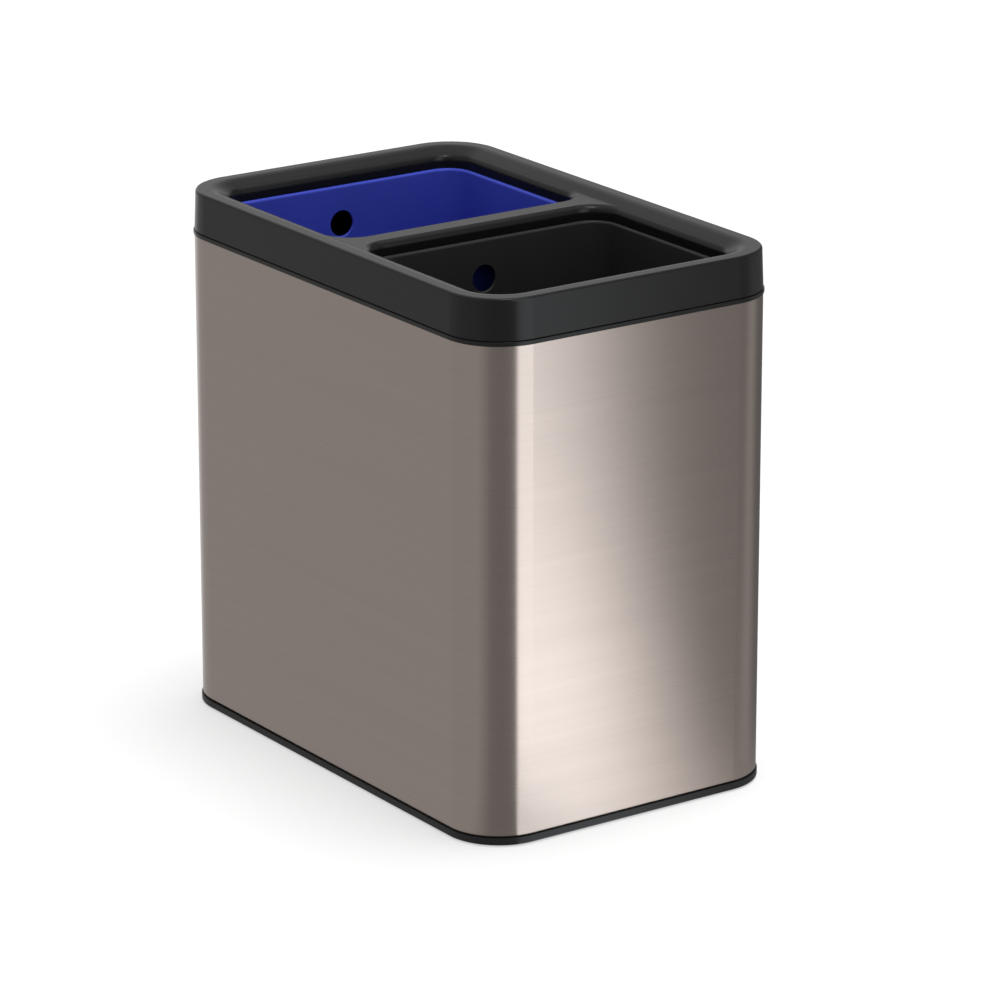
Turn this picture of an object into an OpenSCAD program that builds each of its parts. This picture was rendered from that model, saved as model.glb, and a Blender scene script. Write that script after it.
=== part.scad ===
// Double open-top bin: a brushed steel sleeve on a moulded base tray, with two
// hanging buckets and a lift-off rim frame with two windows.
// Millimetres, +Z up, the narrow front faces -Y, the origin is on the floor.

/* [Overall] */
// Width of the steel sleeve, side to side
bin_w = 235; // [190:1:320]
// Depth of the steel sleeve, front to back
bin_d = 363; // [300:1:480]
// Height from the floor to the crest of the rim
bin_h = 360; // [290:1:480]
// Radius of the sleeve's upright corners
corner_r = 37.5; // [31:0.5:46]

/* [Steel sleeve] */
// Thickness of the steel sheet
sheet_t = 0.7; // [0.5:0.05:0.9]
// Width of the flange turned in at the foot of the sleeve
hem_w = 11; // [9:0.5:13.5]
// Outside radius of the bend into that flange
hem_r = 2; // [1.6:0.1:2.5]
// Width of the ground weld seam down the back
seam_w = 1.4; // [1:0.1:2]
// Depth of that seam
seam_depth = 0.15; // [0.1:0.01:0.2]

/* [Base tray] */
// Height of the tray's visible band
band_h = 5; // [4:0.1:7]
// How far the band stands out past the steel
band_out = 0.8; // [0.6:0.05:1.1]
// Rounding of the band's lower edge
band_round = 1.2; // [0.8:0.1:1.6]
// Thickness of the band seen from below
band_wall = 3.6; // [2.8:0.1:4.4]
// Thickness of the tray's floor
tray_floor = 2.2; // [1.8:0.1:2.7]
// Height of the collar of ribbing that stands inside the sleeve
spigot_h = 9; // [7:0.5:12]
// Thickness of that upright wall
spigot_t = 2; // [1.6:0.1:2.4]
// Thickness of the ribs under the floor
tray_rib_t = 1.8; // [1.4:0.1:2.2]
// Greatest spacing of the ribs under the floor
tray_rib_pitch = 46; // [36:1:60]
// How far the ribs and bosses stay above the band's lower edge
rib_lift = 0.5; // [0.3:0.1:0.8]

/* [Base screws] */
// Diameter of the screw's shank
screw_d = 3; // [2.5:0.1:3.6]
// Diameter of the screw's head
screw_head_d = 6.2; // [5.1:0.1:7.4]
// Height of the screw's head
screw_head_h = 1.8; // [1.4:0.1:2.2]
// Length of the shank that stands past the flange
screw_tip = 2.6; // [2:0.1:3.4]
// Distance of the screws from the sleeve's face
screw_in = 6.8; // [5.6:0.1:8.1]
// Width of the arms of the cross recess
cross_w = 0.8; // [0.6:0.1:1]
// Span of the cross recess
cross_span = 3.4; // [2.8:0.1:4.1]
// Depth of the cross recess
cross_depth = 1; // [0.8:0.1:1.2]

/* [Feet] */
// Diameter of each rubber foot
foot_d = 24; // [19:0.5:29]
// How far the feet stand below the band
foot_proud = 0.8; // [0.6:0.05:1]
// Depth of the pocket that holds a foot
foot_pocket = 2.2; // [1.8:0.1:2.4]
// Rounding of the foot's lower edge
foot_round = 0.8; // [0.6:0.1:1]
// Wall round the pocket
pocket_wall = 2; // [1.6:0.1:2.4]
// Diameter of the peg that holds the foot in the floor
peg_d = 6; // [5:0.1:7.2]
// Height of the peg's rounded end above the floor
peg_tip = 1.4; // [1.1:0.1:1.7]
// Distance of a foot's centre from the faces of the sleeve
foot_in = 40; // [34:1:48]

/* [Top collar] */
// Height of the bead that caps the steel
bead_h = 2.8; // [2.3:0.1:3.4]
// How far the bead stands out past the steel
bead_out = 0.75; // [0.6:0.05:0.9]
// Rounding of the bead's outer edges
bead_round = 0.5; // [0.4:0.05:0.6]
// Depth of the groove that takes the edge of the steel
groove_depth = 1.6; // [1.3:0.1:1.9]
// Shadow gap between the bead and the rim frame
shadow_gap = 0.6; // [0.4:0.05:0.8]
// Thickness of the collar's walls
collar_t = 2; // [1.6:0.1:2.4]
// Length of the skirt inside the sleeve
skirt_h = 13; // [10:0.5:16]
// Depth of the lips round the two bucket openings
opening_lip_h = 9; // [7:0.5:11]
// Thickness of the gussets under the ledge
gusset_t = 1.6; // [1.3:0.1:1.9]

/* [Rim frame] */
// Height of the frame from its lower edge to the crest
frame_h = 26.8; // [22:0.1:32]
// Thickness of the frame's shell
frame_t = 2.4; // [1.9:0.1:2.9]
// Distance the outer wall leans in between its lower edge and the crest
frame_lean = 1; // [0.8:0.1:1.2]
// Rounding of the outer edge of the crest
top_round = 1.9; // [1.5:0.1:2.3]
// Distance from the sleeve's face to where the crest starts to fall
crest_in = 9; // [7.4:0.1:10.8]
// Radius over which the crest rolls into the slope
crest_r = 12; // [9.9:0.1:14.3]
// Angle of the slope that falls to the windows
slope_angle = 25; // [20:0.5:30]
// Distance from the sleeve's face to the window lips
lip_in = 23; // [19:0.5:28]
// Radius of the rounding into the window lips
lip_r = 5; // [4.1:0.1:6]
// Depth of the window lips below the crest
lip_drop = 13; // [10.7:0.1:15.5]
// Radius of the window corners
window_r = 18; // [14.9:0.1:21.5]
// Width of the divider between the two windows
divider_w = 20.6; // [17:0.1:24.6]
// Thickness of the ribs inside the frame
frame_rib_t = 1.6; // [1.3:0.1:1.9]

/* [Buckets] */
// Wall of the buckets
bucket_t = 1.8; // [1.5:0.1:2.2]
// Floor of the buckets
bucket_floor_t = 2; // [1.6:0.1:2.4]
// Draft of the bucket walls
draft_angle = 1.2; // [1:0.1:1.5]
// Rounding of the buckets' lower edge
bucket_round = 7; // [5.8:0.1:8.4]
// Height of the buckets above the tray's shoulder
bucket_lift = 8; // [6.6:0.1:9.6]
// Recess under the buckets
bucket_recess = 1.4; // [1.1:0.1:1.7]
// Width of the ring round that recess
bucket_ring_w = 9; // [7.4:0.1:10.8]
// Thickness of the flange that hangs on the collar
rim_t = 2.2; // [1.8:0.1:2.7]
// Distance from the sleeve's face to the edge of the flanges
rim_in = 10; // [8.3:0.1:12]
// How far the bucket's mouth lies inside the window lip
rim_lap = 2; // [1.6:0.1:2.4]
// Rounding of the bucket's mouth
rim_round = 1.6; // [1.3:0.1:2]
// Diameter of the hole in each back wall
hole_d = 18; // [14.9:0.1:21.5]
// Drop from the bucket's mouth to that hole's centre
hole_drop = 26; // [21.5:0.5:31]
// Softened edge of that hole
hole_soft = 0.4; // [0.3:0.05:0.5]

/* [Clearances] */
// Gap between pressed or screwed pieces
fit_gap = 0.05; // [0.03:0.01:0.06]
// Gap between the collar's skirt and the sleeve
skirt_gap = 0.25; // [0.2:0.05:0.3]
// Gap between the frame's wall and the collar inside it
frame_gap = 0.45; // [0.35:0.05:0.55]
// Gap between a bucket and its opening in the collar
bucket_gap = 0.8; // [0.6:0.05:1]
// Gap between the window lips and the bucket rims below
rim_gap = 0.4; // [0.3:0.05:0.5]
// Gap between the flanges of the two buckets, each side of the middle
middle_gap = 0.6; // [0.5:0.05:0.75]

/* [Hidden] */
$fn = 96;
// Overrun of every cut past the face that it opens
cut = 1;

// Levels, from the floor up
shoulder_z = foot_proud + band_h;
floor_z = shoulder_z - tray_floor;
frame_z = bin_h - frame_h;
bead_top_z = frame_z - shadow_gap;
bead_z = bead_top_z - bead_h;
sheet_top_z = bead_z + groove_depth;
lip_z = bin_h - lip_drop;
rim_z = lip_z - rim_gap;
ledge_z = rim_z - rim_t;
bucket_z = shoulder_z + bucket_lift;

// The rim's section: where the slope meets the rounding of the lip
fall_in = lip_in - lip_r * (1 - sin(slope_angle));
roll_in = crest_in + crest_r * sin(slope_angle);
roll_drop = crest_r * (1 - cos(slope_angle));
fall_drop = roll_drop + (fall_in - roll_in) * tan(slope_angle);
// The rounding sits this far under the slope, so that the two surfaces cross
lip_sink = lip_r / 100;
lip_centre_z = bin_h - fall_drop - lip_sink - lip_r * cos(slope_angle);
divider_z = lip_centre_z + lip_r;

// The two windows and the bucket bodies below them
window_w = bin_w - 2 * lip_in;
window_d = (bin_d - 2 * lip_in - divider_w) / 2;
window_y = (divider_w + window_d) / 2;
body_w = window_w - 2 * rim_lap + 2 * bucket_t;
body_d = window_d - 2 * rim_lap + 2 * bucket_t;
body_r = window_r - rim_lap + bucket_t;
flange_w = bin_w - 2 * rim_in;
flange_d = bin_d / 2 - rim_in - middle_gap;
flange_y = middle_gap + flange_d / 2;
flange_r = corner_r - rim_in;

// The collar stands inside the frame's wall
collar_in = frame_t + frame_lean + frame_gap;
// Feet of the frame's ribs reach in to just short of the bucket flanges
rib_foot_in = rim_in - bucket_gap;

// Base screws: middle and ends of the long sides, quarter points of the short sides
screw_long_share = 0.34;
screw_short_share = 0.22;
screw_places = [for (side = [-1, 1]) each concat(
    [for (k = [-1:1]) [side * (bin_w / 2 - screw_in), k * screw_long_share * bin_d]],
    [for (k = [-1, 1]) [k * screw_short_share * bin_w, side * (bin_d / 2 - screw_in)]])];
seat_z = floor_z - rib_lift;
boss_d = screw_head_d + 2 * pocket_wall;

// Ribs and gussets stand at these shares of a window's width or depth
rib_shares = [-0.3, 0, 0.3];
// A filled sweep: its section ends this share of the corner radius in from its face,
// and the block that fills its middle starts a little before that
reach_share = 0.99;
core_share = 0.97;

steel = [0.62, 0.59, 0.56];
blue = [0.05, 0.07, 0.42];
black = [0.07, 0.07, 0.075];
bucket_black = [0.1, 0.1, 0.105];
rubber = [0.04, 0.04, 0.04];
zinc = [0.7, 0.7, 0.72];

// Flat outline of a rectangle with round corners
module round_rect(w, d, r) {
    square([w - 2 * r, d], center = true);
    square([w, d - 2 * r], center = true);
    for (x = [-1, 1], y = [-1, 1]) translate([x * (w / 2 - r), y * (d / 2 - r)]) circle(r);
}

// Upright block of that outline
module block(w, d, r, low, high) {
    translate([0, 0, low]) linear_extrude(high - low) round_rect(w, d, r);
}

// Upright block that lies a given distance inside the sleeve's face
module slab(inset, low, high) {
    block(bin_w - 2 * inset, bin_d - 2 * inset, corner_r - inset, low, high);
}

// Upright wall that follows the sleeve's face at a given distance inside it
module wall(inset, thickness, low, high) {
    difference() {
        slab(inset, low, high);
        slab(inset + thickness, low - cut, high + cut);
    }
}

// Sweeps a section round an outline. The section's x is the distance out from
// the outline's face, its y is the height.
module around(w, d, r) {
    for (side = [0:3]) {
        reach = (side % 2 == 0 ? w : d) / 2 - r;
        run = (side % 2 == 0 ? d : w) / 2 - r;
        rotate(90 * side) translate([reach, run, 0]) {
            rotate_extrude(angle = 90) translate([r, 0]) children();
            rotate([90, 0, 0]) linear_extrude(2 * run) translate([r, 0]) children();
        }
    }
}

// The same sweep of a section that nearly reaches the corner axis, with its middle filled
module filled(w, d, r, low, high) {
    core_w = w - 2 * r * core_share;
    core_d = d - 2 * r * core_share;
    around(w, d, r) children();
    translate([-core_w / 2, -core_d / 2, low]) cube([core_w, core_d, high - low]);
}

// What a quarter rounding takes off a corner at [x, y], on the side that sx and sy point to
module round_off(x, y, r, sx, sy) {
    translate([x, y]) scale([sx, sy]) translate([-r, -r]) difference() {
        square(r + cut);
        circle(r);
    }
}

// Both bucket places, front and back
module each_window() {
    for (side = [-1, 1]) translate([0, side * window_y, 0]) children();
}

// Sheet steel wrap with its foot turned in, and a ground seam down the back
module steel_sleeve() {
    color(steel) difference() {
        around(bin_w, bin_d, corner_r) {
            translate([-sheet_t, shoulder_z + hem_r]) square([sheet_t, sheet_top_z - shoulder_z - hem_r]);
            translate([-hem_w, shoulder_z]) square([hem_w - hem_r, sheet_t]);
            translate([-hem_r, shoulder_z + hem_r]) intersection() {
                difference() {
                    circle(hem_r);
                    circle(hem_r - sheet_t);
                }
                translate([0, -hem_r]) square(hem_r);
            }
        }
        for (place = screw_places) translate([place[0], place[1], shoulder_z - cut])
            cylinder(d = screw_d + 2 * fit_gap, h = sheet_t + 2 * cut);
        translate([-seam_w / 2, bin_d / 2 - seam_depth, shoulder_z + hem_r])
            cube([seam_w, seam_depth + cut, bin_h]);
    }
}

// Straight ribs under the tray's floor, spaced evenly across a length
module tray_ribs(length, other) {
    count = ceil(length / tray_rib_pitch);
    for (k = [1:count - 1])
        translate([k * length / count - length / 2 - tray_rib_t / 2, -other / 2, foot_proud + rib_lift])
            cube([tray_rib_t, other, floor_z - foot_proud]);
}

// The four places of the feet
module each_foot() {
    for (x = [-1, 1], y = [-1, 1]) translate([x * (bin_w / 2 - foot_in), y * (bin_d / 2 - foot_in), 0])
        children();
}

// Moulded tray: the band below the steel, a ribbed floor and an upright inside the sleeve
module base_tray() {
    band_r = corner_r + band_out;
    color(black) difference() {
        union() {
            difference() {
                filled(bin_w + 2 * band_out, bin_d + 2 * band_out, band_r, foot_proud, shoulder_z)
                    difference() {
                        translate([-reach_share * band_r, foot_proud]) square([reach_share * band_r, band_h]);
                        round_off(0, foot_proud, band_round, 1, -1);
                    }
                slab(band_wall - band_out, foot_proud - cut, floor_z);
            }
            intersection() {
                slab(0, foot_proud + rib_lift, floor_z + tray_floor / 2);
                union() {
                    tray_ribs(bin_w, bin_d);
                    rotate(90) tray_ribs(bin_d, bin_w);
                    for (place = screw_places) translate([place[0], place[1], seat_z])
                        cylinder(d = boss_d, h = tray_floor);
                    each_foot() cylinder(d = foot_d + 2 * pocket_wall, h = shoulder_z);
                }
            }
            wall(hem_w + 2 * skirt_gap, spigot_t, floor_z + tray_floor / 2, shoulder_z + spigot_h);
        }
        for (place = screw_places) translate([place[0], place[1], -cut]) {
            cylinder(d = boss_d, h = seat_z + cut);
            cylinder(d = screw_d + 4 * fit_gap, h = shoulder_z + 2 * cut);
        }
        each_foot() {
            translate([0, 0, -cut]) cylinder(d = foot_d + 2 * skirt_gap, h = foot_proud + foot_pocket + cut);
            cylinder(d = peg_d + 4 * fit_gap, h = shoulder_z + cut);
        }
    }
}

// Self-tapping screws that hold the tray to the sleeve's flange
module base_screws() {
    color(zinc) for (place = screw_places) translate([place[0], place[1], seat_z]) difference() {
        union() {
            rotate_extrude() intersection() {
                translate([0, -screw_head_h]) square([screw_head_d / 2, screw_head_h]);
                translate([0, screw_head_d - screw_head_h]) circle(screw_head_d);
            }
            cylinder(d = screw_d, h = shoulder_z + sheet_t - seat_z + screw_tip / 2);
            translate([0, 0, shoulder_z + sheet_t - seat_z + screw_tip / 2])
                cylinder(d1 = screw_d, d2 = screw_d / 3, h = screw_tip / 2);
        }
        for (turn = [0, 90]) rotate(turn) translate([-cross_span / 2, -cross_w / 2, -screw_head_h - cut])
            cube([cross_span, cross_w, cross_depth + cut]);
    }
}

// Round rubber foot with a peg that snaps through the tray's floor
module foot(x, y) {
    color(rubber) translate([x * (bin_w / 2 - foot_in), y * (bin_d / 2 - foot_in), 0]) {
        rotate_extrude() difference() {
            square([foot_d / 2, foot_proud + foot_pocket]);
            round_off(foot_d / 2, 0, foot_round, 1, -1);
        }
        cylinder(d = peg_d, h = shoulder_z + peg_tip / 2);
        translate([0, 0, shoulder_z + peg_tip / 2]) cylinder(d1 = peg_d, d2 = peg_d / 2, h = peg_tip / 2);
    }
}

// Gussets that tie a ledge or shell together: plates across the long and short sides
module gussets(thickness, low, high) {
    each_window() {
        for (share = rib_shares) translate([-bin_w, share * window_d - thickness / 2, low])
            cube([2 * bin_w, thickness, high - low]);
        for (share = rib_shares) translate([share * window_w - thickness / 2, -bin_d, low])
            cube([thickness, 2 * bin_d, high - low]);
    }
}

// Moulded collar: a bead over the steel's edge, an upstand, and a ledge with two openings
module top_collar() {
    opening_w = body_w + 2 * bucket_gap;
    opening_d = body_d + 2 * bucket_gap;
    opening_r = body_r + bucket_gap;
    lip_low_z = ledge_z - opening_lip_h;
    color(black) difference() {
        union() {
            around(bin_w, bin_d, corner_r) difference() {
                translate([-collar_in - collar_t, bead_z]) square([collar_in + collar_t + bead_out, bead_h]);
                round_off(bead_out, bead_top_z, bead_round, 1, 1);
                round_off(bead_out, bead_z, bead_round, 1, -1);
                translate([-sheet_t - fit_gap, bead_z - cut])
                    square([sheet_t + 2 * fit_gap, groove_depth + cut]);
            }
            wall(sheet_t + skirt_gap, collar_t, bead_top_z - skirt_h, bead_top_z - bead_h / 2);
            wall(collar_in, collar_t, bead_top_z - bead_h / 2, ledge_z);
            slab(collar_in, ledge_z - collar_t, ledge_z);
            each_window() block(opening_w + 2 * collar_t, opening_d + 2 * collar_t, opening_r + collar_t,
                                lip_low_z, ledge_z);
            intersection() {
                slab(collar_in, lip_low_z, ledge_z);
                gussets(gusset_t, lip_low_z, ledge_z);
            }
        }
        each_window() block(opening_w, opening_d, opening_r, lip_low_z - cut, ledge_z + cut);
    }
}

// Section of the frame's outer wall and crest
module frame_section() {
    inner = -reach_share * corner_r;
    difference() {
        polygon([[inner, frame_z], [0, frame_z], [-frame_lean, bin_h - top_round], [-frame_lean, bin_h],
                 [inner, bin_h]]);
        round_off(-frame_lean, bin_h, top_round, 1, 1);
    }
}

// Section of the space under that crest
module hollow_section() {
    inner = -reach_share * corner_r;
    polygon([[inner, frame_z - cut], [-frame_t, frame_z - cut], [-frame_lean - frame_t, bin_h - frame_t],
             [inner, bin_h - frame_t]]);
}

// Section of the hollow between the crest and the divider's level
module dish_section(skin) {
    centre = [lip_in - crest_in, bin_h - crest_r];
    roll = centre + (crest_r - skin) * [-sin(slope_angle), cos(slope_angle)];
    low = divider_z - skin;
    toe = roll[0] - (roll[1] - low) / tan(slope_angle);
    inner = -reach_share * window_r;
    difference() {
        polygon([[inner, low], [toe, low], roll, [centre[0], roll[1]], [centre[0], bin_h + cut],
                 [inner, bin_h + cut]]);
        translate(centre) circle(crest_r - skin);
    }
}

// Section of one window: an upright lip, its rounding, and a flare in line with the slope
module window_section(skin, low) {
    centre = [lip_r, lip_centre_z];
    turn = centre + (lip_r - skin) * [-sin(slope_angle), cos(slope_angle)];
    flare = turn + lip_r / 4 * [cos(slope_angle), sin(slope_angle)];
    inner = -reach_share * window_r;
    difference() {
        polygon([[inner, low], [skin, low], [skin, centre[1]], [centre[0], centre[1]], turn, flare,
                 [flare[0], bin_h + cut], [inner, bin_h + cut]]);
        translate(centre) circle(lip_r - skin);
    }
}

// Both windows, as solids that cut the frame
module windows(skin, low) {
    each_window() filled(window_w, window_d, window_r, low, bin_h + cut) window_section(skin, low);
}

// The dish between the crest and the windows
module dish(skin) {
    filled(window_w, bin_d - 2 * lip_in, window_r, divider_z - skin, bin_h + cut) dish_section(skin);
}

// Moulded shell with two windows, ribbed inside, that lifts off the collar
module rim_frame() {
    color(black) difference() {
        filled(bin_w, bin_d, corner_r, frame_z, bin_h) frame_section();
        difference() {
            filled(bin_w, bin_d, corner_r, frame_z - cut, bin_h - frame_t) hollow_section();
            dish(frame_t);
            windows(frame_t, lip_z);
            gussets(frame_rib_t, lip_z, bin_h);
            intersection() {
                gussets(frame_rib_t, ledge_z, bin_h);
                wall(0, rib_foot_in, ledge_z, bin_h);
            }
        }
        dish(0);
        windows(0, frame_z - cut);
    }
}

// Section of a tapered bucket, a distance inside its outer skin
module bucket_section(skin, low) {
    round = bucket_round - skin;
    lean = (rim_z - low - round) * tan(draft_angle);
    inner = -reach_share * body_r;
    difference() {
        polygon([[inner, low], [-skin - lean, low], [-skin - lean, low + round], [-skin, rim_z + skin],
                 [inner, rim_z + skin]]);
        round_off(-skin - lean, low, round, 1, -1);
    }
}

// Tapered bucket that hangs by its flange, with a round hole in its back wall.
// The flange is wider on the side that lies towards the outer wall.
module bucket(side, tint) {
    hole_z = rim_z - hole_drop;
    hole_y = body_d / 2 - hole_drop * tan(draft_angle);
    foot_w = body_w - 2 * ((rim_z - bucket_z) * tan(draft_angle) + bucket_ring_w);
    foot_depth = foot_w + body_d - body_w;
    foot_r = body_r - bucket_ring_w;
    floor_top = bucket_z + bucket_recess + bucket_floor_t;
    soft_d = hole_d + 2 * (hole_soft + cut);
    color(tint) translate([0, side * window_y, 0]) difference() {
        union() {
            filled(body_w, body_d, body_r, bucket_z, rim_z) bucket_section(0, bucket_z);
            translate([0, side * (flange_y - window_y), 0])
                block(flange_w, flange_d, flange_r, ledge_z, rim_z);
        }
        filled(body_w, body_d, body_r, floor_top, rim_z + bucket_t) bucket_section(bucket_t, floor_top);
        around(body_w - 2 * bucket_t, body_d - 2 * bucket_t, body_r - bucket_t)
            round_off(0, rim_z, rim_round, -1, 1);
        block(foot_w, foot_depth, foot_r, bucket_z - cut, bucket_z + bucket_recess);
        translate([0, hole_y, hole_z]) rotate([90, 0, 0]) {
            translate([0, 0, -cut]) cylinder(d = hole_d, h = bucket_t + 2 * cut);
            translate([0, 0, -cut]) cylinder(d1 = soft_d, d2 = hole_d, h = hole_soft + cut);
            translate([0, 0, bucket_t - hole_soft]) cylinder(d1 = hole_d, d2 = soft_d, h = hole_soft + cut);
        }
    }
}

// Blue bucket for recycling, at the back
module recycling_bucket() {
    bucket(1, blue);
}

// Black bucket for general waste, at the front
module waste_bucket() {
    bucket(-1, bucket_black);
}

steel_sleeve();
base_tray();
base_screws();
foot(-1, -1);  // foot_front_left
foot(1, -1);  // foot_front_right
foot(-1, 1);  // foot_rear_left
foot(1, 1);  // foot_rear_right
top_collar();
rim_frame();
recycling_bucket();
waste_bucket();
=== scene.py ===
# %% [markdown]
# A brushed steel bin with two buckets
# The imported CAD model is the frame: every solid in it is in metres and stands where the real
# piece stands. This script gives the solids their finishes, replaces the plain screws with
# threaded ones, and sets up a plain studio round them. Nothing from the frame is moved.

# %% Load the frame
import math
import bpy
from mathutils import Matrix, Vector


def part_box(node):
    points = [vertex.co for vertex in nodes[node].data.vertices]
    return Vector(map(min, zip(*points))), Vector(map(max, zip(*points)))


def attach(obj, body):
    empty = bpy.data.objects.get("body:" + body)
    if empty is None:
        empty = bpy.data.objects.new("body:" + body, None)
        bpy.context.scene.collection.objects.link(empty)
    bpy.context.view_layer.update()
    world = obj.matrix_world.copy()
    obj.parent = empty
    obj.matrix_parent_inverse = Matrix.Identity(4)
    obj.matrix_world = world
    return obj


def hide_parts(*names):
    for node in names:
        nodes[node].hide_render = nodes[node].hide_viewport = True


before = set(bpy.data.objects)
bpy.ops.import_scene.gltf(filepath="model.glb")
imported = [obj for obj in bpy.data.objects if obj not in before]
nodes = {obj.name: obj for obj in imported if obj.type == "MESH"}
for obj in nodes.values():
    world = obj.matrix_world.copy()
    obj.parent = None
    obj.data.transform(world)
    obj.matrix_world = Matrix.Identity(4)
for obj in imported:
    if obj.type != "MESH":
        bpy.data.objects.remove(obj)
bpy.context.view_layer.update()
mm = 0.001
full_turn = 2 * math.pi
scene = bpy.context.scene
scene.view_settings.view_transform = "Standard"
print("nodes:", sorted(nodes))

# %% [markdown]
# The sizes that the rest follows
# The steel sleeve is the biggest piece, and most places below are measured from it: the screws
# sit along its foot, and the reflections are shaped for its front and its near corner. They
# could be typed in as numbers. Its box is read from the frame instead, so the places follow
# when the bin is made wider or deeper. Only the radius of its corners is typed in, because a
# box doesn't tell it.

# %% Sizes of the sleeve
sleeve_low, sleeve_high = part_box("steel_sleeve")
bin_width = sleeve_high.x - sleeve_low.x
bin_depth = sleeve_high.y - sleeve_low.y
corner_radius = 37.5 * mm
front_y = sleeve_low.y
near_corner = (sleeve_low.x + corner_radius, front_y + corner_radius)
print(f"sleeve: {bin_width / mm:.1f} by {bin_depth / mm:.1f} mm")
print("middle of the near corner's rounding:", [round(v, 4) for v in near_corner])

# %% [markdown]
# The camera
# The photograph was taken from the front left, above the rim, with a long lens from about
# three metres. A long lens keeps the upright edges nearly parallel. A camera can be turned by
# hand until it looks right. This one is placed by its angle round the bin, its distance and
# its height, and is aimed at a point inside the bin, because those numbers could be fitted to
# the outline in the photograph.

# %% Camera
camera_azimuth = math.radians(34.56)
camera_distance = 3.238
camera_height = 1.216
aim_height = 0.1657
aim_right = 0.0175
lens_mm = 185.4
sensor_mm = 36
farthest_seen = 100


def turn_to(obj, point):
    """Turns a camera or a lamp so that it faces a point."""
    obj.rotation_euler = (Vector(point) - obj.location).to_track_quat("-Z", "Y").to_euler()


away = Vector((math.sin(camera_azimuth), math.cos(camera_azimuth), 0))
to_right = Vector((math.cos(camera_azimuth), -math.sin(camera_azimuth), 0))
camera = bpy.data.objects.new("camera", bpy.data.cameras.new("camera"))
scene.collection.objects.link(camera)
scene.camera = camera
camera.location = -away * camera_distance + Vector((0, 0, camera_height))
turn_to(camera, to_right * aim_right + Vector((0, 0, aim_height)))
camera.data.lens = lens_mm
camera.data.sensor_width = sensor_mm
camera.data.clip_end = farthest_seen
print("camera at", [round(x, 3) for x in camera.location])

# %% [markdown]
# A small helper for node trees
# Every finish below is a tree of nodes, and so is the rule that makes the screws. Blender's own
# calls take a line to add a node, a line for each value and a line for each link. The helper
# does it in one call: a plain value is set, and the output of another node is linked.

# %% Node helper
class Wiring:
    """Short ways to add nodes to one tree and join them."""

    def __init__(self, tree):
        self.tree = tree

    def node(self, kind, inputs=(), **settings):
        """Adds a node, sets its properties, then feeds its inputs by name or number."""
        made = self.tree.nodes.new(kind)
        for key, value in settings.items():
            setattr(made, key, value)
        for key, value in dict(inputs).items():
            self.feed(made.inputs[key], value)
        return made

    def feed(self, socket, value):
        """Links another node's output to a socket, or sets a plain value on it."""
        if isinstance(value, bpy.types.NodeSocket):
            self.tree.links.new(value, socket)
        else:
            socket.default_value = value

    def math(self, operation, *values):
        """The result of one sum, such as ADD or MULTIPLY."""
        return self.node("ShaderNodeMath", enumerate(values), operation=operation).outputs[0]

    def vector(self, x, y, z):
        """Three numbers put together as a vector."""
        return self.node("ShaderNodeCombineXYZ", enumerate((x, y, z))).outputs[0]

    def ramp(self, value, start, end, **settings):
        """Rises from 0 at start to 1 at end, and stays level outside them."""
        span = {"Value": value, "From Min": start, "From Max": end}
        return self.node("ShaderNodeMapRange", span, **settings).outputs["Result"]

    def soft_ramp(self, value, start, end):
        """The same, but eased at both ends."""
        return self.ramp(value, start, end, interpolation_type="SMOOTHSTEP")


print("node helper ready")

# %% [markdown]
# Empty materials and node groups
# A new material comes with a shader already in it, which is cleared away so that each finish
# holds only what it needs. An effect that several finishes share is a node group. A group gives
# out only masks, and the shader itself stays in each material, where the export can read it.

# %% Empty materials and groups
def new_material(name):
    """An empty material and the wiring of its tree."""
    material = bpy.data.materials.new(name)
    material.use_nodes = True
    material.node_tree.nodes.clear()
    return material, Wiring(material.node_tree)


def new_group(name, numbers, masks):
    """A shader node group with named numbers going in and named masks coming out."""
    group = bpy.data.node_groups.new(name, "ShaderNodeTree")
    for label, value in numbers.items():
        socket = group.interface.new_socket(label, in_out="INPUT", socket_type="NodeSocketFloat")
        socket.default_value = value
    for label in masks:
        group.interface.new_socket(label, in_out="OUTPUT", socket_type="NodeSocketFloat")
    wire = Wiring(group)
    return group, wire, wire.node("NodeGroupInput").outputs, wire.node("NodeGroupOutput").inputs


print("materials and groups can be made")

# %% [markdown]
# The grain of moulded plastic
# A mould for satin plastic is etched or spark eroded, and its fine grain is pressed into every
# piece. The piece also cools unevenly, which shows as a slow change of gloss. Both could be
# painted as an image. Two noises on the object's own coordinates do it at any size, and the
# number of grains is given per metre, so the grain keeps its real scale.

# %% Moulded grain group
def grain_group():
    """Fine grain of a mould, with a slow unevenness beside it."""
    numbers = {"Grains per metre": 2500.0, "Unevenness per metre": 18.0}
    group, wire, given, result = new_group("moulded_grain", numbers, ("Grain", "Unevenness"))
    place = wire.node("ShaderNodeTexCoord").outputs["Object"]
    fine = wire.node("ShaderNodeTexNoise", {
        "Vector": place, "Scale": given["Grains per metre"], "Detail": 2.0, "Roughness": 0.6})
    slow = wire.node("ShaderNodeTexNoise", {
        "Vector": place, "Scale": given["Unevenness per metre"], "Detail": 3.0, "Roughness": 0.5})
    wire.feed(result["Grain"], fine.outputs["Fac"])
    wire.feed(result["Unevenness"], slow.outputs["Fac"])
    return group


moulded_grain = grain_group()
print("group:", moulded_grain.name, [item.name for item in moulded_grain.interface.items_tree])

# %% [markdown]
# The brushing of the steel
# The sheet is drawn past an abrasive belt, which leaves long level scratches. A noise looks
# like that when its coordinates are stretched: here a scratch is 180 times as long as it is
# high. The scratches are kept a little wider than a pixel, because finer ones break up into
# wavy lines. A second noise on the same coordinates gives broad bands, where the belt wore.

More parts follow.
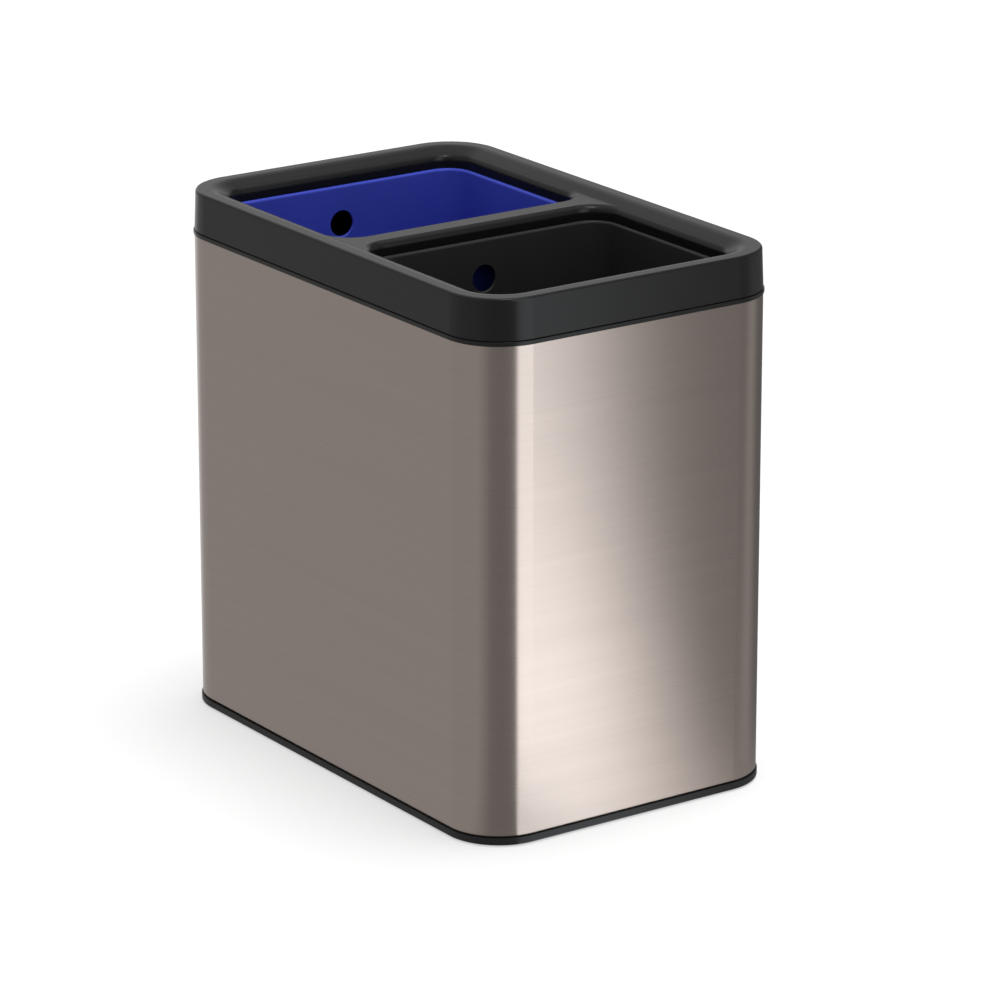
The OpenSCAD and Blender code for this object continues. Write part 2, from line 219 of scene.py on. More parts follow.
# %% Brushing group
def brushing_group():
    """Long level scratches: the noise changes fast up the sleeve and slowly round it."""
    numbers = {"Scratches per metre": 520.0, "Stretch": 180.0}
    group, wire, given, result = new_group("level_brushing", numbers, ("Scratches", "Bands"))
    place = wire.node("ShaderNodeTexCoord").outputs["Object"]
    upwards = given["Scratches per metre"]
    level = wire.math("DIVIDE", upwards, given["Stretch"])
    stretch = wire.vector(level, level, upwards)
    drawn = wire.node("ShaderNodeVectorMath", {0: place, 1: stretch}, operation="MULTIPLY").outputs[0]
    fine = wire.node("ShaderNodeTexNoise", {
        "Vector": drawn, "Scale": 1.0, "Detail": 2.0, "Roughness": 0.4})
    slow = wire.node("ShaderNodeTexNoise", {
        "Vector": drawn, "Scale": 0.12, "Detail": 0.0, "Roughness": 0.5})
    wire.feed(result["Scratches"], fine.outputs["Fac"])
    wire.feed(result["Bands"], slow.outputs["Fac"])
    return group


level_brushing = brushing_group()
print("group:", level_brushing.name, [item.name for item in level_brushing.interface.items_tree])

# %% [markdown]
# Brushed steel
# The sleeve is stainless sheet with a warm champagne tone. Level scratches blur a reflection up
# and down and leave it sharp from side to side, which is why the sleeve shows upright bands of
# light. A fine bump alone would need far more samples to look like that. So the shader gets a
# high anisotropy, with a tangent that runs round the upright axis and a quarter turn that sets
# the blur upright, and the scratches add only a weak bump and a small change of tone.

# %% Steel material
steel_tone = (0.355, 0.302, 0.274, 1)
steel_dark = (0.334, 0.284, 0.258, 1)
steel_smoothest, steel_roughest = 0.245, 0.305
scratch_depth = 0.02 * mm
scratch_strength = 0.1
brushing_stretch_of_gloss = 0.97
quarter_turn_share = 0.25


def steel_material():
    """Champagne stainless sheet whose tone, gloss and bump follow the brushing."""
    material, wire = new_material("champagne_brushed_steel")
    brushing = wire.node("ShaderNodeGroup", node_tree=level_brushing).outputs
    tone = wire.node("ShaderNodeMix", {
        "Factor": brushing["Scratches"], "A": steel_dark, "B": steel_tone}, data_type="RGBA")
    rough = wire.node("ShaderNodeMapRange", {
        "Value": brushing["Bands"], "To Min": steel_smoothest, "To Max": steel_roughest})
    bump = wire.node("ShaderNodeBump", {
        "Strength": scratch_strength, "Distance": scratch_depth, "Height": brushing["Scratches"]})
    tangent = wire.node("ShaderNodeTangent", direction_type="RADIAL", axis="Z")
    shader = wire.node("ShaderNodeBsdfPrincipled", {
        "Base Color": tone.outputs["Result"],
        "Metallic": 1.0,
        "Roughness": rough.outputs["Result"],
        "Anisotropic": brushing_stretch_of_gloss,
        "Anisotropic Rotation": quarter_turn_share,
        "Tangent": tangent.outputs["Tangent"],
        "Normal": bump.outputs["Normal"],
    })
    wire.node("ShaderNodeOutputMaterial", {"Surface": shader.outputs["BSDF"]})
    return material


brushed_steel = steel_material()
print("material:", brushed_steel.name)

# %% [markdown]
# Moulded plastics and rubber
# The rim frame and the collar are a satin black plastic, the base tray a duller one, and the
# buckets the same kind of plastic in blue and black. The feet are soft rubber with a coarser
# grain. One function makes them all, because they differ only in tone, gloss and grain.

# %% Plastic materials
tone_swing = 0.12
gloss_swing = 0.04
grain_strength = 0.25
plastic_shine = 0.20


def plastic_material(name, colour, roughness, grain_height=0.006 * mm, grains_per_metre=2600.0):
    """Moulded plastic: a fine grain as bump, and a slow unevenness in tone and gloss."""
    material, wire = new_material(name)
    grain = wire.node("ShaderNodeGroup", {"Grains per metre": grains_per_metre},
                      node_tree=moulded_grain).outputs
    darker = tuple(part * (1 - tone_swing) for part in colour) + (1,)
    lighter = tuple(part * (1 + tone_swing) for part in colour) + (1,)
    tone = wire.node("ShaderNodeMix", {
        "Factor": grain["Unevenness"], "A": darker, "B": lighter}, data_type="RGBA")
    rough = wire.node("ShaderNodeMapRange", {
        "Value": grain["Unevenness"], "To Min": roughness - gloss_swing, "To Max": roughness + gloss_swing})
    bump = wire.node("ShaderNodeBump", {
        "Strength": grain_strength, "Distance": grain_height, "Height": grain["Grain"]})
    shader = wire.node("ShaderNodeBsdfPrincipled", {
        "Base Color": tone.outputs["Result"],
        "Roughness": rough.outputs["Result"],
        "Specular IOR Level": plastic_shine,
        "Normal": bump.outputs["Normal"],
    })
    wire.node("ShaderNodeOutputMaterial", {"Surface": shader.outputs["BSDF"]})
    return material


bucket_grain_height = 0.004 * mm
frame_black = plastic_material("satin_black_plastic", (0.0105, 0.0105, 0.0107), 0.25)
tray_black = plastic_material("base_black_plastic", (0.016, 0.016, 0.0165), 0.45)
bucket_blue = plastic_material("blue_bucket_plastic", (0.060, 0.089, 0.59), 0.45, bucket_grain_height)
bucket_black = plastic_material("black_bucket_plastic", (0.030, 0.030, 0.0305), 0.45, bucket_grain_height)
foot_rubber = plastic_material("foot_rubber", (0.02, 0.02, 0.02), 0.75, 0.02 * mm, 1400.0)
print("materials:", [m.name for m in (frame_black, tray_black, bucket_blue, bucket_black, foot_rubber)])

# %% [markdown]
# Zinc plate
# The screws are steel with a thin bright plate of zinc, which is a little cloudy. A plain metal
# would look like chrome, so the plastic's slow unevenness is used again, much finer, to vary
# the gloss.

# %% Zinc material
zinc_tone = (0.70, 0.70, 0.72, 1)
clouds_per_metre = 400.0
zinc_smoothest, zinc_roughest = 0.22, 0.38


def zinc_material():
    """Bright zinc plate, a little cloudy."""
    material, wire = new_material("zinc_plate")
    clouds = wire.node("ShaderNodeGroup", {"Unevenness per metre": clouds_per_metre},
                       node_tree=moulded_grain).outputs
    rough = wire.node("ShaderNodeMapRange", {
        "Value": clouds["Unevenness"], "To Min": zinc_smoothest, "To Max": zinc_roughest})
    shader = wire.node("ShaderNodeBsdfPrincipled", {
        "Base Color": zinc_tone, "Metallic": 1.0, "Roughness": rough.outputs["Result"]})
    wire.node("ShaderNodeOutputMaterial", {"Surface": shader.outputs["BSDF"]})
    return material


zinc_plate = zinc_material()
print("material:", zinc_plate.name)

# %% [markdown]
# The finishes on the solids
# Each solid of the frame already has a material slot. A finish could be added beside the old
# one, but then the faces would still use the old one, so each slot gets the new material.

# %% Put the finishes on the solids
finishes = {
    "steel_sleeve": brushed_steel,
    "base_tray": tray_black,
    "base_screws": zinc_plate,
    "top_collar": frame_black,
    "rim_frame": frame_black,
    "recycling_bucket": bucket_blue,
    "waste_bucket": bucket_black,
}
finishes.update({name: foot_rubber for name in nodes if name.startswith("foot_")})
for name, material in finishes.items():
    for material_slot in nodes[name].material_slots:
        material_slot.material = material
    print(f"{name}: {material.name}, {len(nodes[name].data.polygons)} faces")

# %% [markdown]
# Where the screws go
# Ten small tapping screws hold the tray to the turned-in foot of the sleeve: three along each
# long side and two along each short one. Their places follow the sleeve's width and depth, as
# the bosses in the tray do.

# %% Places of the screws
screw_inset = 6.8 * mm
seat_height = 3.1 * mm
long_side_step = 0.34 * bin_depth
short_side_step = 0.22 * bin_width
screw_places = []
for side in (-1, 1):
    for step in (-1, 0, 1):
        x = side * (bin_width / 2 - screw_inset)
        screw_places.append((x, step * long_side_step, seat_height))
for side in (-1, 1):
    for step in (-1, 1):
        y = side * (bin_depth / 2 - screw_inset)
        screw_places.append((step * short_side_step, y, seat_height))
print("screws:", len(screw_places))

# %% [markdown]
# Round bodies from a flat grid
# The screws are all alike, so one screw is described by rules in a geometry node tree and set
# on ten points. A lathe in Blender is the Screw modifier or Spin. In a node tree, a flat grid
# can be rolled up instead: the way across the grid becomes the angle, and the way along it runs
# down the profile. Then the radius at each point can follow any sum, and a thread is one sum.

# %% Rolling a grid up
merge_distance = 0.002 * mm


def flat_grid(wire, rows, turns):
    """A unit grid, with the share of the way along it and the angle round it at each point."""
    grid = wire.node("GeometryNodeMeshGrid", {
        "Size X": 1.0, "Size Y": 1.0, "Vertices X": turns + 1, "Vertices Y": rows})
    place = wire.node("ShaderNodeSeparateXYZ", {0: wire.node("GeometryNodeInputPosition").outputs[0]})
    share = wire.math("ADD", place.outputs["Y"], 0.5)
    turn = wire.math("MULTIPLY", wire.math("ADD", place.outputs["X"], 0.5), full_turn)
    return grid.outputs["Mesh"], share, turn


def rolled(wire, grid, turn, radius, height):
    """Rolls a grid up round the upright axis, and closes its seam and its two ends."""
    across = wire.math("MULTIPLY", radius, wire.math("COSINE", turn))
    along = wire.math("MULTIPLY", radius, wire.math("SINE", turn))
    place = wire.vector(across, along, height)
    body = wire.node("GeometryNodeSetPosition", {"Geometry": grid, "Position": place})
    closed = wire.node("GeometryNodeMergeByDistance", {
        "Geometry": body.outputs[0], "Distance": merge_distance})
    return closed.outputs[0]


print("grids can be rolled up")

# %% [markdown]
# The sizes of a screw
# The screw is a short pan-head tapping screw with a coarse thread, as is used for thin sheet
# and plastic. Its sizes are listed once under plain names. Each becomes a named input of the
# tree, so that another size of screw needs no new tree.

# %% Sizes of a screw
screw_sizes = {
    "Head radius": 3.1 * mm,
    "Head height": 1.8 * mm,
    "Head rim": 0.55 * mm,
    "Thread radius": 1.48 * mm,
    "Core radius": 1.18 * mm,
    "Pitch": 1.1 * mm,
    "Shank length": 5.9 * mm,
    "Tip length": 1.6 * mm,
    "Cross width": 0.8 * mm,
    "Cross span": 3.4 * mm,
    "Cross depth": 1.0 * mm,
}
print("sizes of a screw in mm:", {name: round(size / mm, 2) for name, size in screw_sizes.items()})

# %% [markdown]
# The head of a screw
# The head is a pan: a quarter of a sine wave makes its dome, and its rim goes straight up to
# the face that presses on the tray. The sums follow one share, from the middle of the dome to
# the middle of that face, so the body closes by itself. They are plain sums and no Map Range
# node, which rounds otherwise. That alone moves some points where the shank meets the head.

# %% Head of a screw
head_rows, head_turns = 21, 32
dome_end_share = 0.625
rim_start_share, rim_end_share = 0.64, 0.78
back_start_share = 0.8


def share_past(wire, share, start, end):
    """How much of the span from start to end is passed. It is zero before the span."""
    past = wire.math("MAXIMUM", wire.math("SUBTRACT", share, start), 0.0)
    return wire.math("MULTIPLY", past, 1 / (end - start))


def screw_head(wire, given):
    """From the middle of the dome out to its edge, up the rim and back to the middle."""
    grid, share, turn = flat_grid(wire, head_rows, head_turns)
    dome_share = wire.math("MINIMUM", wire.math("MULTIPLY", share, 1 / dome_end_share), 1.0)
    quarter = wire.math("MULTIPLY", dome_share, full_turn / 4)
    inwards = share_past(wire, share, back_start_share, 1.0)
    radius_share = wire.math("SUBTRACT", wire.math("SINE", quarter), inwards)
    radius = wire.math("MULTIPLY", given["Head radius"], radius_share)
    dome_height = wire.math("SUBTRACT", given["Head height"], given["Head rim"])
    dome = wire.math("MULTIPLY", wire.math("MULTIPLY", dome_height, -1.0), wire.math("COSINE", quarter))
    up = wire.math("MINIMUM", share_past(wire, share, rim_start_share, rim_end_share), 1.0)
    height = wire.math("ADD", wire.math("SUBTRACT", dome, given["Head rim"]),
                       wire.math("MULTIPLY", up, given["Head rim"]))
    return rolled(wire, grid, turn, radius, height)


print("head:", head_rows, "rows of", head_turns, "points")

# %% [markdown]
# The shank of a screw
# The thread is a ridge whose phase depends on the height and the angle together, so it climbs
# one pitch in each turn. The points of the screws stand up past the sleeve's turned-in foot,
# where they show once the buckets are out, so the thread is real shape and not only a bump.

# %% Shank of a screw
shank_rows, shank_turns = 61, 20
start_in_rim_share = 0.5
ridge_sharpness = 2.0
tip_roundness = 0.6
closing_share = 1 / 400


def screw_shank(wire, given):
    """A core with a helical ridge, drawn in to a point at both ends. It starts in the head."""
    grid, share, turn = flat_grid(wire, shank_rows, shank_turns)
    start = wire.math("MULTIPLY", given["Head rim"], -start_in_rim_share)
    length = wire.math("SUBTRACT", given["Shank length"], start)
    height = wire.math("ADD", start, wire.math("MULTIPLY", share, length))
    pitches = wire.math("DIVIDE", height, given["Pitch"])
    phase = wire.math("FRACT", wire.math("SUBTRACT", pitches, wire.math("DIVIDE", turn, full_turn)))
    wave = wire.math("ABSOLUTE", wire.math("SUBTRACT", wire.math("MULTIPLY", phase, 2.0), 1.0))
    depth = wire.math("SUBTRACT", given["Thread radius"], given["Core radius"])
    ridge = wire.math("MULTIPLY", wire.math("POWER", wave, ridge_sharpness), depth)
    to_tip = wire.math("DIVIDE", wire.math("SUBTRACT", given["Shank length"], height), given["Tip length"])
    tip = wire.math("MINIMUM", wire.math("MAXIMUM", to_tip, 0.0), 1.0)
    closing = wire.math("MINIMUM", wire.math("MULTIPLY", share, 1 / closing_share), 1.0)
    taper = wire.math("MULTIPLY", closing, wire.math("POWER", tip, tip_roundness))
    radius = wire.math("MULTIPLY", wire.math("ADD", given["Core radius"], ridge), taper)
    return rolled(wire, grid, turn, radius, height)


print("shank:", shank_rows, "rows of", shank_turns, "points")

# %% [markdown]
# The whole screw, and the tree
# A cross recess is two slots across each other. They are cut by a mesh boolean, which gives the
# sharp edges that a punched recess has. The tree then sets the screw on each point, turns it by
# a seeded amount, because nobody drives screws to the same angle, makes the instances real and
# sets their material, because the export keeps no instances.

# %% The tree that makes the screws
most_turn = 3.1
turn_seed = 7


def screw_body(wire, given):
    """The head and the shank made one, with a cross cut into the head."""
    whole = wire.node("GeometryNodeMeshBoolean", operation="UNION", solver="EXACT")
    for part in (screw_head(wire, given), screw_shank(wire, given)):
        wire.feed(whole.inputs["Mesh 2"], part)
    cut = wire.node("GeometryNodeMeshBoolean", {"Mesh 1": whole.outputs["Mesh"]},
                    operation="DIFFERENCE", solver="EXACT")
    # a slot is centred on the top of the head, so only half of its height cuts
    tall = wire.math("MULTIPLY", given["Cross depth"], 2.0)
    head_top = wire.vector(0.0, 0.0, wire.math("MULTIPLY", given["Head height"], -1.0))
    for across, along in (("Cross width", "Cross span"), ("Cross span", "Cross width")):
        slot = wire.node("GeometryNodeMeshCube", {"Size": wire.vector(given[across], given[along], tall)})
        placed = wire.node("GeometryNodeTransform", {
            "Geometry": slot.outputs["Mesh"], "Translation": head_top})
        wire.feed(cut.inputs["Mesh 2"], placed.outputs[0])
    return cut.outputs["Mesh"]


def screw_tree():
    """One screw by rule, set on every point of the mesh that comes in."""
    tree = bpy.data.node_groups.new("tapping_screws", "GeometryNodeTree")
    tree.interface.new_socket("Places", in_out="INPUT", socket_type="NodeSocketGeometry")
    for name, size in screw_sizes.items():
        socket = tree.interface.new_socket(name, in_out="INPUT", socket_type="NodeSocketFloat")
        socket.default_value = size
    tree.interface.new_socket("Finish", in_out="INPUT", socket_type="NodeSocketMaterial")
    tree.interface.new_socket("Screws", in_out="OUTPUT", socket_type="NodeSocketGeometry")
    wire = Wiring(tree)
    given = wire.node("NodeGroupInput").outputs
    placed = wire.node("GeometryNodeInstanceOnPoints", {
        "Points": given["Places"], "Instance": screw_body(wire, given)})
    # inputs 2 and 3 are the least and the most of a random float
    turn = wire.node("FunctionNodeRandomValue", {2: 0.0, 3: most_turn, "Seed": turn_seed},
                     data_type="FLOAT").outputs[1]
    turned = wire.node("GeometryNodeRotateInstances", {
        "Instances": placed.outputs[0], "Rotation": wire.vector(0.0, 0.0, turn)})
    real = wire.node("GeometryNodeRealizeInstances", {"Geometry": turned.outputs[0]})
    finished = wire.node("GeometryNodeSetMaterial", {
        "Geometry": real.outputs[0], "Material": given["Finish"]})
    wire.node("NodeGroupOutput", {"Screws": finished.outputs[0]})
    return tree


tree_of_screws = screw_tree()
print("tree:", tree_of_screws.name, len(tree_of_screws.nodes), "nodes")

# %% [markdown]
# Making the screws
# The tree runs as a modifier on a mesh of ten loose points. Its inputs are set by the sockets'
# identifiers, and the result is turned into a plain mesh, so that the piece exports as it is.
# It rides with the bin and stands for the plain screws of the frame.

# %% Make the screws
def plain_mesh(obj, name):
    """Turns what the modifiers make into a plain mesh on the same object."""
    evaluated = obj.evaluated_get(bpy.context.evaluated_depsgraph_get())
    mesh = bpy.data.meshes.new_from_object(evaluated)
    mesh.name = name
    obj.modifiers.clear()
    obj.data = mesh
    return mesh


place_mesh = bpy.data.meshes.new("screw_places")
place_mesh.from_pydata(screw_places, [], [])
screws = bpy.data.objects.new("tapping_screws", place_mesh)
scene.collection.objects.link(screws)
modifier = screws.modifiers.new("screws", "NODES")
modifier.node_group = tree_of_screws
for item in tree_of_screws.interface.items_tree:
    if item.name in screw_sizes:
        modifier[item.identifier] = screw_sizes[item.name]
    if item.name == "Finish":
        modifier[item.identifier] = zinc_plate
screw_mesh = plain_mesh(screws, "tapping_screws")
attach(screws, "bin")
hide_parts("base_screws")
screw_heights = [vertex.co.z for vertex in screw_mesh.vertices]
print(f"screws: {len(screw_mesh.polygons)} faces, {min(screw_heights) / mm:.2f} mm",
      f"to {max(screw_heights) / mm:.2f} mm above the floor")

# %% [markdown]
# Light of its own, where it is seen
# A photograph for a catalogue stands the object on white, with only its soft shadow left. More
# light on the floor would also wash the bin out. Instead the floor and the world give light of
# their own, but only to camera, reflection and see-through rays. Light Path says which kind of
# ray is asking. It stays in each material, because the export can't read it inside a group.

# %% Where a surface is seen
white = (1, 1, 1, 1)


def glow_where_seen(wire, share):
    """The share where a camera, glossy or transmission ray looks, otherwise zero."""
    rays = wire.node("ShaderNodeLightPath").outputs
    seen = wire.math("MAXIMUM", rays["Is Camera Ray"], rays["Is Glossy Ray"])
    seen = wire.math("MAXIMUM", seen, rays["Is Transmission Ray"])
    return wire.math("MULTIPLY", seen, share)


print("a surface can glow where it is seen")

# %% [markdown]
# The floor
# The floor is matt and almost white, and this part of it takes the bin's shadow. Light of its
# own is mixed in where it is seen, which lifts the rest of the floor to plain white and leaves
# the shadow soft and pale, as it is in the photograph.

# %% Floor
floor_reach = 15.0
floor_tone = (0.9, 0.9, 0.9, 1)
floor_roughness = 0.9
floor_glow = 1.22
floor_glow_share = 0.44


def floor_material():
    """White floor that is partly self-lit where it is seen."""
    material, wire = new_material("studio_floor")
    matt = wire.node("ShaderNodeBsdfPrincipled", {
        "Base Color": floor_tone, "Roughness": floor_roughness, "Specular IOR Level": 0.0})
    glow = wire.node("ShaderNodeEmission", {"Color": white, "Strength": floor_glow})
    mixed = wire.node("ShaderNodeMixShader", {
        "Fac": glow_where_seen(wire, floor_glow_share), 1: matt.outputs["BSDF"], 2: glow.outputs["Emission"]})
    wire.node("ShaderNodeOutputMaterial", {"Surface": mixed.outputs["Shader"]})
    return material


def stage_mesh(name, points, faces, material):
    """A piece of the studio, which is no part of the bin."""
    mesh = bpy.data.meshes.new(name)
    mesh.from_pydata(points, [], faces)
    mesh.materials.append(material)
    obj = bpy.data.objects.new(name, mesh)
    scene.collection.objects.link(obj)
    return obj


floor_corners = [(x * floor_reach, y * floor_reach, 0) for x, y in ((-1, -1), (1, -1), (1, 1), (-1, 1))]
floor = stage_mesh("floor", floor_corners, [(0, 1, 2, 3)], floor_material())
print("floor:", floor.name, "reaches", floor_reach, "m each way")

# %% [markdown]
# The world
# The world is the white background, and it also fills the shadows. A world bright enough to be
# white would wash the bin out. So it has a strength of 1, which is plain white, only to the
# camera and in reflections, and it is dimmer as a fill light.

# %% World
ambient_light = 0.42


def studio_world():
    """White where it is seen, dimmer as fill light."""
    world = bpy.data.worlds.new("studio")
    world.use_nodes = True
    world.node_tree.nodes.clear()
    wire = Wiring(world.node_tree)
    strength = wire.node("ShaderNodeMapRange", {
        "Value": glow_where_seen(wire, 1.0), "To Min": ambient_light, "To Max": 1.0})
    background = wire.node("ShaderNodeBackground", {
        "Color": white, "Strength": strength.outputs["Result"]})
    wire.node("ShaderNodeOutputWorld", {"Surface": background.outputs["Background"]})
    return world


scene.world = studio_world()
print("world:", scene.world.name)

# %% [markdown]
# The sun
# One wide sun, nearly overhead and a little to the right, gives the light its direction and
# the floor its soft shadow on the left. A narrow sun would draw a sharp shadow, and an area
# lamp would light the top of the bin more than its foot. The sun is kept out of reflections,
# because it would put a hot streak on the steel there.

# %% Sun
sun_strength = 2.1
sun_width = math.radians(30)
sun_place = (0.25, -0.1, 2.4)
sun_aim = (0, 0, 0.18)

key_sun = bpy.data.objects.new("key_sun", bpy.data.lights.new("key_sun", "SUN"))
scene.collection.objects.link(key_sun)
key_sun.data.energy = sun_strength
key_sun.data.angle = sun_width
key_sun.visible_glossy = False
key_sun.location = sun_place
turn_to(key_sun, sun_aim)
print("sun:", key_sun.data.energy, "strong,", round(math.degrees(key_sun.data.angle)), "degrees wide")

# %% [markdown]
# What the steel reflects
# Brushed steel shows its surroundings as upright bands, so a photographer stands cards round
# it: grey ones beside it and behind it, and one bright one before the front. Each card could
# be a plane of its own. Here they are one bowl round the bin, whose material says how bright
# each direction is, so that neighbouring cards can fade into each other. The greys are listed
# by the angle round the near corner, which is the rounding that reflects most of them.

# %% Grey cards
card_tones = (
    # angle in degrees: 0 is left, 90 is front, 180 is right, and minus is round the back; glow
    (-180, 0.30), (-172, 0.24), (-162, 0.20), (-150, 0.20), (-143, 0.60), (-112, 0.66),
    (-104, 0.92), (-92, 0.92), (-82, 0.61), (16, 0.62), (26, 0.52), (42, 0.365), (60, 0.34),
    (86, 0.36), (115, 0.42), (140, 0.45), (147, 0.40), (155, 0.56), (162, 0.60), (168, 0.53),
    (174, 0.40), (180, 0.30),
)


def grey_cards(wire, x, y):
    """The glow of the grey cards, by the angle round the near corner."""
    leftwards = wire.math("SUBTRACT", near_corner[0], x)
    forwards = wire.math("SUBTRACT", near_corner[1], y)
    angle = wire.math("ARCTAN2", forwards, leftwards)
    share = wire.math("ADD", wire.math("MULTIPLY", angle, 1 / full_turn), 0.5)
    ramp = wire.node("ShaderNodeValToRGB", {0: share})
    stops = ramp.color_ramp.elements
    for degrees, tone in card_tones[1:-1]:
        stops.new((degrees + 180) / 360).color = (tone, tone, tone, 1)
    for end in (0, -1):
        tone = card_tones[end][1]
        stops[end].color = (tone, tone, tone, 1)
    return ramp.outputs["Color"]


print("grey cards:", len(card_tones), "tones")

# %% [markdown]
# The bright card before the front
# The light patch on the front is widest at the bottom and narrows towards the top, because the
# card's right-hand edge slants. On the bowl it is a wedge: it starts at an angle just past the
# near corner and ends at that slanting edge. Three losses shape it further: it is weaker far
# away, and it has a painted shadow of the bin close to its foot and a painted contact shade right
# beside the corner, which darken the reflection low on the front.

# %% Bright card
bright_glow = 3.35
bright_from_left, bright_from_behind = 10 * mm, 1.5 * mm
bright_from = (near_corner[0] - bright_from_left, front_y + bright_from_behind)
bright_start, bright_start_soft = math.radians(92), math.radians(5)
bright_edge_x, bright_edge_run, bright_edge_soft = 28 * mm, 0.638, 76 * mm
front_soft = 20 * mm
far_loss, far_from, far_to = 0.325, 0.25, 0.8
# painted shadow of the bin on the reflected floor, close in front of its foot
painted_foot_shadow_depth, painted_foot_shadow_reach = 0.26, 0.20
# painted contact shade on the reflected floor, round a spot just ahead of the near corner
painted_corner_shade_depth, painted_corner_shade_reach, painted_corner_shade_ahead = 0.34, 70 * mm, 50.5 * mm
painted_corner_shade_spot = (near_corner[0], front_y - painted_corner_shade_ahead, 0)


def bright_wedge(wire, x, y, before_front):
    """Two masks: the whole wedge, and everything past the angle at which it starts."""
    edge = wire.math("MULTIPLY", before_front, bright_edge_run)
    past_edge = wire.math("SUBTRACT", wire.math("SUBTRACT", x, bright_edge_x), edge)
    inside = wire.soft_ramp(past_edge, bright_edge_soft, -bright_edge_soft)
    forwards = wire.math("SUBTRACT", bright_from[1], y)
    leftwards = wire.math("SUBTRACT", bright_from[0], x)
    angle = wire.math("ARCTAN2", forwards, leftwards)
    begun = wire.soft_ramp(angle, bright_start - bright_start_soft, bright_start + bright_start_soft)
    in_front = wire.soft_ramp(before_front, -front_soft, 0.0)
    return wire.math("MULTIPLY", wire.math("MULTIPLY", inside, begun), in_front), begun


def glow_kept(wire, place, before_front, wedge, begun):
    """The share of the glow left after the far falloff, the painted foot shadow and the painted corner shade.
    """
    far = wire.math("MULTIPLY", wire.ramp(before_front, far_from, far_to), far_loss)
    # painted shadow of the bin's foot: the glow is darker close in front of the sleeve
    near = wire.math("MULTIPLY", wire.soft_ramp(before_front, painted_foot_shadow_reach, 0.0), painted_foot_shadow_depth)
    # painted contact shade: the glow is darker round the spot just ahead of the near corner
    from_corner = wire.node("ShaderNodeVectorMath", {0: place, 1: painted_corner_shade_spot},
                            operation="DISTANCE").outputs["Value"]
    corner = wire.math("MULTIPLY", wire.soft_ramp(from_corner, painted_corner_shade_reach, 0.0), painted_corner_shade_depth)
    # the painted shadow and the painted shade darken only the bright wedge
    painted_shade_low = wire.math("MULTIPLY", wire.math("ADD", near, corner), wedge)
    lost = wire.math("ADD", wire.math("MULTIPLY", far, begun), painted_shade_low)
    return wire.math("SUBTRACT", 1.0, lost)


print("bright card starts", round(math.degrees(bright_start)), "degrees round from the left")

# %% [markdown]
# The finish of the bowl
# The masks come together in one emission shader. Its strength is the glow of the greys or of
# the bright card, less the losses, two of which are painted shade. The greys are faintly warm and
# the bright card faintly cool, as daylight beside room light is. The pattern is read from the
# bowl's own place, so it stays where it is when the camera moves.

# %% Bowl material
card_tint = (1.0, 0.99, 0.98, 1)
bright_tint = (0.96, 1.005, 1.035, 1)


def bowl_material():
    """Grey cards whose tone changes round the bin, with a bright wedge before the front."""
    material, wire = new_material("reflection_card")
    place = wire.node("ShaderNodeTexCoord").outputs["Object"]
    split = wire.node("ShaderNodeSeparateXYZ", {0: place}).outputs
    before_front = wire.math("SUBTRACT", front_y, split["Y"])
    wedge, begun = bright_wedge(wire, split["X"], split["Y"], before_front)
    glow = wire.node("ShaderNodeMix", {
        "Factor": wedge, "A": grey_cards(wire, split["X"], split["Y"]), "B": bright_glow}, data_type="FLOAT")
    tint = wire.node("ShaderNodeMix", {
        "Factor": wedge, "A": card_tint, "B": bright_tint}, data_type="RGBA")
    kept = glow_kept(wire, place, before_front, wedge, begun)
    light = wire.node("ShaderNodeEmission", {
        "Color": tint.outputs["Result"], "Strength": wire.math("MULTIPLY", glow.outputs["Result"], kept)})
    wire.node("ShaderNodeOutputMaterial", {"Surface": light.outputs["Emission"]})
    return material


card_finish = bowl_material()
print("material:", card_finish.name)

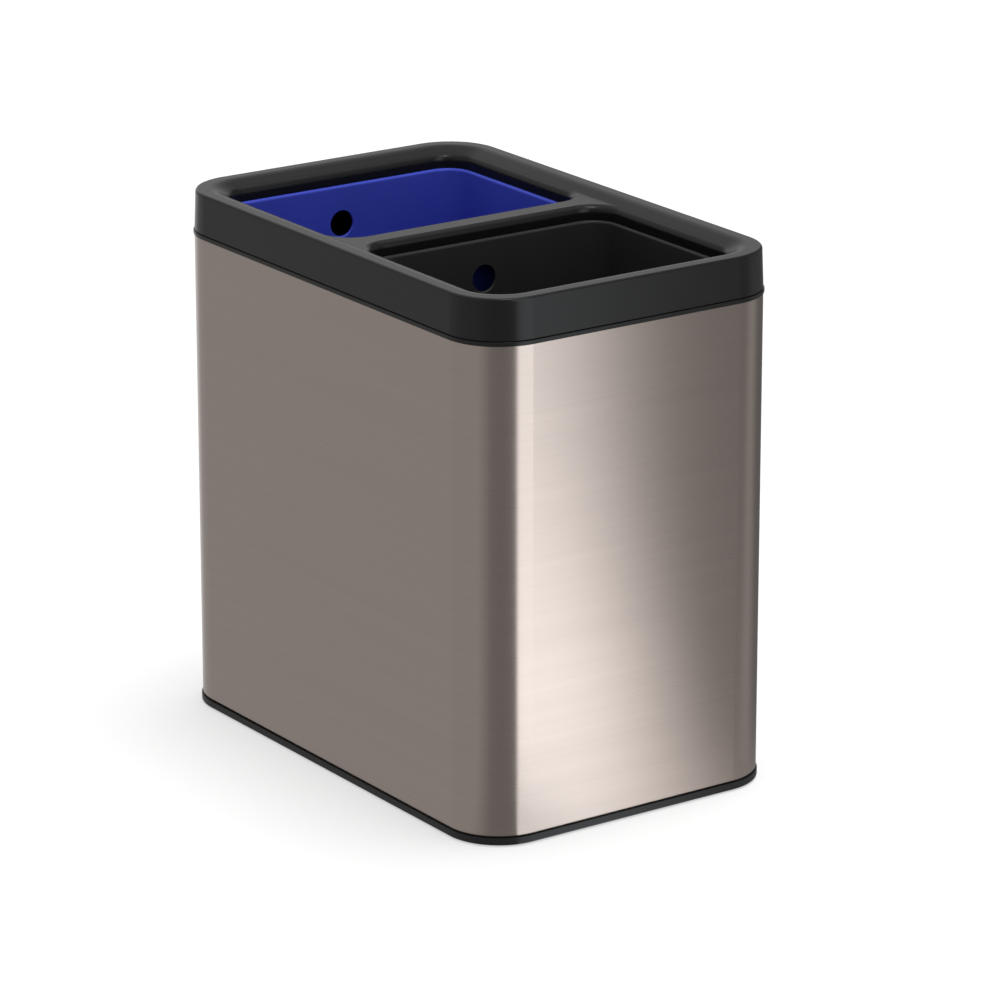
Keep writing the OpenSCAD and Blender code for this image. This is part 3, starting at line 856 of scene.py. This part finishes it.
# %% [markdown]
# The bowl itself
# The bowl is a disc just above the floor with an upright wall round it. Only reflections see
# it: the camera looks through it at the white floor and world, and it lights nothing and casts
# no shadow. It is made of plain faces, because its tones come from the material.

# %% Bowl
bowl_radius = 1.0
bowl_low = 0.4 * mm
bowl_wall = 1.6
bowl_sides = 72


def only_in_reflections(obj):
    """Hides a card from every ray but the glossy ones."""
    for kind in ("camera", "diffuse", "transmission", "volume_scatter", "shadow"):
        setattr(obj, "visible_" + kind, False)


def reflection_bowl():
    """A disc just above the floor with an upright wall round it."""
    points = [(0, 0, bowl_low)]
    faces = []
    for side in range(bowl_sides):
        angle = full_turn * side / bowl_sides
        x, y = -bowl_radius * math.cos(angle), -bowl_radius * math.sin(angle)
        points += [(x, y, bowl_low), (x, y, bowl_wall)]
        here, after = 1 + 2 * side, 1 + 2 * ((side + 1) % bowl_sides)
        faces += [(0, here, after), (here, after, after + 1, here + 1)]
    return stage_mesh("reflection_bowl", points, faces, card_finish)


bowl = reflection_bowl()
only_in_reflections(bowl)
print("bowl:", len(bowl.data.polygons), "faces")

# %% [markdown]
# The overhead card
# The rounded lips of the windows and the crest of the rim have small soft highlights, which
# come from a light above. A lamp would also light the steel and the floor. A small bright card
# that only reflections see gives the highlights and nothing else. It faces the rim.

# %% Overhead card
overhead_place = Vector((0.05, -0.28, 1.53))
overhead_half = 0.17
overhead_glow = 9.0
rim_middle = Vector((0, 0, 0.34))


def overhead_card():
    """A square bright card high over the front, facing the rim."""
    material, wire = new_material("overhead_card")
    light = wire.node("ShaderNodeEmission", {"Color": white, "Strength": overhead_glow})
    wire.node("ShaderNodeOutputMaterial", {"Surface": light.outputs["Emission"]})
    inwards = (rim_middle - overhead_place).normalized()
    across = inwards.cross(Vector((0, 0, 1))).normalized() * overhead_half
    up = across.cross(inwards).normalized() * overhead_half
    corners = [overhead_place + a * across + b * up for a, b in ((-1, -1), (1, -1), (1, 1), (-1, 1))]
    return stage_mesh("overhead_card", [tuple(corner) for corner in corners], [(0, 1, 2, 3)], material)


overhead = overhead_card()
only_in_reflections(overhead)
print("overhead card:", round(2 * overhead_half, 2), "m wide,", overhead_place.z, "m up")
